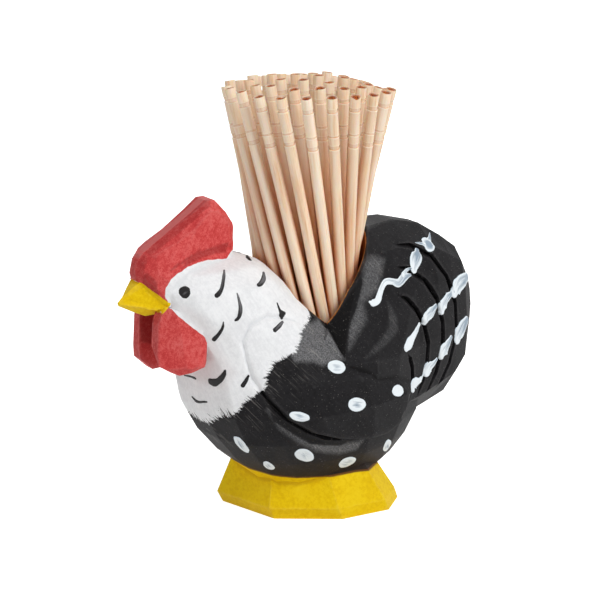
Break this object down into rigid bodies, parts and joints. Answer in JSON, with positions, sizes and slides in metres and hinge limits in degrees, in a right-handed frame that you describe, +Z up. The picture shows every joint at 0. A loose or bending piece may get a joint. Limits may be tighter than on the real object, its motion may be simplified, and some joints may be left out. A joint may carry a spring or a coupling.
{
  "type": "toothpick dispenser",
  "caption": "Toothpick holder whittled as a hen from one block of wood, painted, with a drilled well in its back that holds loose round toothpicks with turned heads",
  "frame": {"origin": "middle of the foot's underside, on the axis of the well", "axes": "+Z up, the beak points to -X and the tail to +X, the hen's left side faces -Y"},
  "size_m": [0.0796, 0.0385, 0.0861],
  "materials": {
    "painted_wood": "matte acrylic paint on whittled softwood",
    "pick_wood": "bare birch, turned smooth"
  },
  "bodies": {
    "hen": {"carved_body": "painted_wood"},
    "pick_01_body": {"pick_01": "pick_wood"},
    "pick_02_body": {"pick_02": "pick_wood"},
    "pick_03_body": {"pick_03": "pick_wood"},
    "pick_04_body": {"pick_04": "pick_wood"},
    "pick_05_body": {"pick_05": "pick_wood"},
    "pick_06_body": {"pick_06": "pick_wood"},
    "pick_07_body": {"pick_07": "pick_wood"},
    "pick_08_body": {"pick_08": "pick_wood"},
    "pick_09_body": {"pick_09": "pick_wood"},
    "pick_10_body": {"pick_10": "pick_wood"},
    "pick_11_body": {"pick_11": "pick_wood"},
    "pick_12_body": {"pick_12": "pick_wood"},
    "pick_13_body": {"pick_13": "pick_wood"},
    "pick_14_body": {"pick_14": "pick_wood"},
    "pick_15_body": {"pick_15": "pick_wood"},
    "pick_16_body": {"pick_16": "pick_wood"},
    "pick_17_body": {"pick_17": "pick_wood"},
    "pick_18_body": {"pick_18": "pick_wood"},
    "pick_19_body": {"pick_19": "pick_wood"},
    "pick_20_body": {"pick_20": "pick_wood"},
    "pick_21_body": {"pick_21": "pick_wood"},
    "pick_22_body": {"pick_22": "pick_wood"},
    "pick_23_body": {"pick_23": "pick_wood"},
    "pick_24_body": {"pick_24": "pick_wood"},
    "pick_25_body": {"pick_25": "pick_wood"},
    "pick_26_body": {"pick_26": "pick_wood"},
    "pick_27_body": {"pick_27": "pick_wood"},
    "pick_28_body": {"pick_28": "pick_wood"},
    "pick_29_body": {"pick_29": "pick_wood"},
    "pick_30_body": {"pick_30": "pick_wood"},
    "pick_31_body": {"pick_31": "pick_wood"},
    "pick_32_body": {"pick_32": "pick_wood"},
    "pick_33_body": {"pick_33": "pick_wood"},
    "pick_34_body": {"pick_34": "pick_wood"},
    "pick_35_body": {"pick_35": "pick_wood"},
    "pick_36_body": {"pick_36": "pick_wood"},
    "pick_37_body": {"pick_37": "pick_wood"},
    "pick_38_body": {"pick_38": "pick_wood"},
    "pick_39_body": {"pick_39": "pick_wood"},
    "pick_40_body": {"pick_40": "pick_wood"},
    "pick_41_body": {"pick_41": "pick_wood"},
    "pick_42_body": {"pick_42": "pick_wood"},
    "pick_43_body": {"pick_43": "pick_wood"},
    "pick_44_body": {"pick_44": "pick_wood"},
    "pick_45_body": {"pick_45": "pick_wood"},
    "pick_46_body": {"pick_46": "pick_wood"},
    "pick_47_body": {"pick_47": "pick_wood"},
    "pick_48_body": {"pick_48": "pick_wood"}
  },
  "joints": [
    {"name": "pick_01_lift", "type": "slide", "parent": "hen", "child": "pick_01_body", "axis": [0.0631, 0.0067, 0.998], "range_m": [0, 0.068]},
    {"name": "pick_02_lift", "type": "slide", "parent": "hen", "child": "pick_02_body", "axis": [-0.0045, 0.0333, 0.9994], "range_m": [0, 0.068]},
    {"name": "pick_03_lift", "type": "slide", "parent": "hen", "child": "pick_03_body", "axis": [0.0052, -0.0395, 0.9992], "range_m": [0, 0.068]},
    {"name": "pick_04_lift", "type": "slide", "parent": "hen", "child": "pick_04_body", "axis": [0.0363, -0.1125, 0.993], "range_m": [0, 0.068]},
    {"name": "pick_05_lift", "type": "slide", "parent": "hen", "child": "pick_05_body", "axis": [0.1046, -0.0771, 0.9915], "range_m": [0, 0.068]},
    {"name": "pick_06_lift", "type": "slide", "parent": "hen", "child": "pick_06_body", "axis": [0.1353, -0.0064, 0.9908], "range_m": [0, 0.068]},
    {"name": "pick_07_lift", "type": "slide", "parent": "hen", "child": "pick_07_body", "axis": [0.1122, 0.0685, 0.9913], "range_m": [0, 0.068]},
    {"name": "pick_08_lift", "type": "slide", "parent": "hen", "child": "pick_08_body", "axis": [0.046, 0.1112, 0.9927], "range_m": [0, 0.068]},
    {"name": "pick_09_lift", "type": "slide", "parent": "hen", "child": "pick_09_body", "axis": [-0.0303, 0.1017, 0.9944], "range_m": [0, 0.068]},
    {"name": "pick_10_lift", "type": "slide", "parent": "hen", "child": "pick_10_body", "axis": [-0.0839, 0.0444, 0.9955], "range_m": [0, 0.068]},
    {"name": "pick_11_lift", "type": "slide", "parent": "hen", "child": "pick_11_body", "axis": [-0.0889, -0.0344, 0.9954], "range_m": [0, 0.068]},
    {"name": "pick_12_lift", "type": "slide", "parent": "hen", "child": "pick_12_body", "axis": [-0.0404, -0.0968, 0.9945], "range_m": [0, 0.068]},
    {"name": "pick_13_lift", "type": "slide", "parent": "hen", "child": "pick_13_body", "axis": [0.0774, -0.1754, 0.9815], "range_m": [0, 0.068]},
    {"name": "pick_14_lift", "type": "slide", "parent": "hen", "child": "pick_14_body", "axis": [0.1446, -0.1377, 0.9799], "range_m": [0, 0.068]},
    {"name": "pick_15_lift", "type": "slide", "parent": "hen", "child": "pick_15_body", "axis": [0.1901, -0.0751, 0.9789], "range_m": [0, 0.068]},
    {"name": "pick_16_lift", "type": "slide", "parent": "hen", "child": "pick_16_body", "axis": [0.206, -0.0002, 0.9785], "range_m": [0, 0.068]},
    {"name": "pick_17_lift", "type": "slide", "parent": "hen", "child": "pick_17_body", "axis": [0.1898, 0.0753, 0.9789], "range_m": [0, 0.068]},
    {"name": "pick_18_lift", "type": "slide", "parent": "hen", "child": "pick_18_body", "axis": [0.1452, 0.1373, 0.9798], "range_m": [0, 0.068]},
    {"name": "pick_19_lift", "type": "slide", "parent": "hen", "child": "pick_19_body", "axis": [0.0774, 0.1749, 0.9815], "range_m": [0, 0.068]},
    {"name": "pick_20_lift", "type": "slide", "parent": "hen", "child": "pick_20_body", "axis": [0.0011, 0.1846, 0.9828], "range_m": [0, 0.068]},
    {"name": "pick_21_lift", "type": "slide", "parent": "hen", "child": "pick_21_body", "axis": [-0.0716, 0.1595, 0.9846], "range_m": [0, 0.068]},
    {"name": "pick_22_lift", "type": "slide", "parent": "hen", "child": "pick_22_body", "axis": [-0.1293, 0.1087, 0.9856], "range_m": [0, 0.068]},
    {"name": "pick_23_lift", "type": "slide", "parent": "hen", "child": "pick_23_body", "axis": [-0.1606, 0.0384, 0.9863], "range_m": [0, 0.068]},
    {"name": "pick_24_lift", "type": "slide", "parent": "hen", "child": "pick_24_body", "axis": [-0.1602, -0.0384, 0.9863], "range_m": [0, 0.068]},
    {"name": "pick_25_lift", "type": "slide", "parent": "hen", "child": "pick_25_body", "axis": [-0.1281, -0.1092, 0.9857], "range_m": [0, 0.068]},
    {"name": "pick_26_lift", "type": "slide", "parent": "hen", "child": "pick_26_body", "axis": [-0.0705, -0.1608, 0.9845], "range_m": [0, 0.068]},
    {"name": "pick_27_lift", "type": "slide", "parent": "hen", "child": "pick_27_body", "axis": [0.0029, -0.1845, 0.9828], "range_m": [0, 0.068]},
    {"name": "pick_28_lift", "type": "slide", "parent": "hen", "child": "pick_28_body", "axis": [0.1047, -0.2381, 0.9656], "range_m": [0, 0.068]},
    {"name": "pick_29_lift", "type": "slide", "parent": "hen", "child": "pick_29_body", "axis": [0.1722, -0.2024, 0.964], "range_m": [0, 0.068]},
    {"name": "pick_30_lift", "type": "slide", "parent": "hen", "child": "pick_30_body", "axis": [0.2241, -0.1491, 0.9631], "range_m": [0, 0.068]},
    {"name": "pick_31_lift", "type": "slide", "parent": "hen", "child": "pick_31_body", "axis": [0.258, -0.0823, 0.9626], "range_m": [0, 0.068]},
    {"name": "pick_32_lift", "type": "slide", "parent": "hen", "child": "pick_32_body", "axis": [0.2721, -0.0087, 0.9622], "range_m": [0, 0.068]},
    {"name": "pick_33_lift", "type": "slide", "parent": "hen", "child": "pick_33_body", "axis": [0.2624, 0.0666, 0.9626], "range_m": [0, 0.068]},
    {"name": "pick_34_lift", "type": "slide", "parent": "hen", "child": "pick_34_body", "axis": [0.234, 0.1344, 0.9629], "range_m": [0, 0.068]},
    {"name": "pick_35_lift", "type": "slide", "parent": "hen", "child": "pick_35_body", "axis": [0.1844, 0.1925, 0.9638], "range_m": [0, 0.068]},
    {"name": "pick_36_lift", "type": "slide", "parent": "hen", "child": "pick_36_body", "axis": [0.1198, 0.2317, 0.9654], "range_m": [0, 0.068]},
    {"name": "pick_37_lift", "type": "slide", "parent": "hen", "child": "pick_37_body", "axis": [0.0482, 0.2515, 0.9667], "range_m": [0, 0.068]},
    {"name": "pick_38_lift", "type": "slide", "parent": "hen", "child": "pick_38_body", "axis": [-0.0282, 0.2476, 0.9685], "range_m": [0, 0.068]},
    {"name": "pick_39_lift", "type": "slide", "parent": "hen", "child": "pick_39_body", "axis": [-0.0995, 0.223, 0.9697], "range_m": [0, 0.068]},
    {"name": "pick_40_lift", "type": "slide", "parent": "hen", "child": "pick_40_body", "axis": [-0.1597, 0.178, 0.971], "range_m": [0, 0.068]},
    {"name": "pick_41_lift", "type": "slide", "parent": "hen", "child": "pick_41_body", "axis": [-0.2033, 0.1169, 0.9721], "range_m": [0, 0.068]},
    {"name": "pick_42_lift", "type": "slide", "parent": "hen", "child": "pick_42_body", "axis": [-0.228, 0.0461, 0.9726], "range_m": [0, 0.068]},
    {"name": "pick_43_lift", "type": "slide", "parent": "hen", "child": "pick_43_body", "axis": [-0.2322, -0.0295, 0.9722], "range_m": [0, 0.068]},
    {"name": "pick_44_lift", "type": "slide", "parent": "hen", "child": "pick_44_body", "axis": [-0.2121, -0.103, 0.9718], "range_m": [0, 0.068]},
    {"name": "pick_45_lift", "type": "slide", "parent": "hen", "child": "pick_45_body", "axis": [-0.1708, -0.1659, 0.9712], "range_m": [0, 0.068]},
    {"name": "pick_46_lift", "type": "slide", "parent": "hen", "child": "pick_46_body", "axis": [-0.1134, -0.2155, 0.9699], "range_m": [0, 0.068]},
    {"name": "pick_47_lift", "type": "slide", "parent": "hen", "child": "pick_47_body", "axis": [-0.0429, -0.2439, 0.9689], "range_m": [0, 0.068]},
    {"name": "pick_48_lift", "type": "slide", "parent": "hen", "child": "pick_48_body", "axis": [0.0323, -0.252, 0.9672], "range_m": [0, 0.068]}
  ]
}
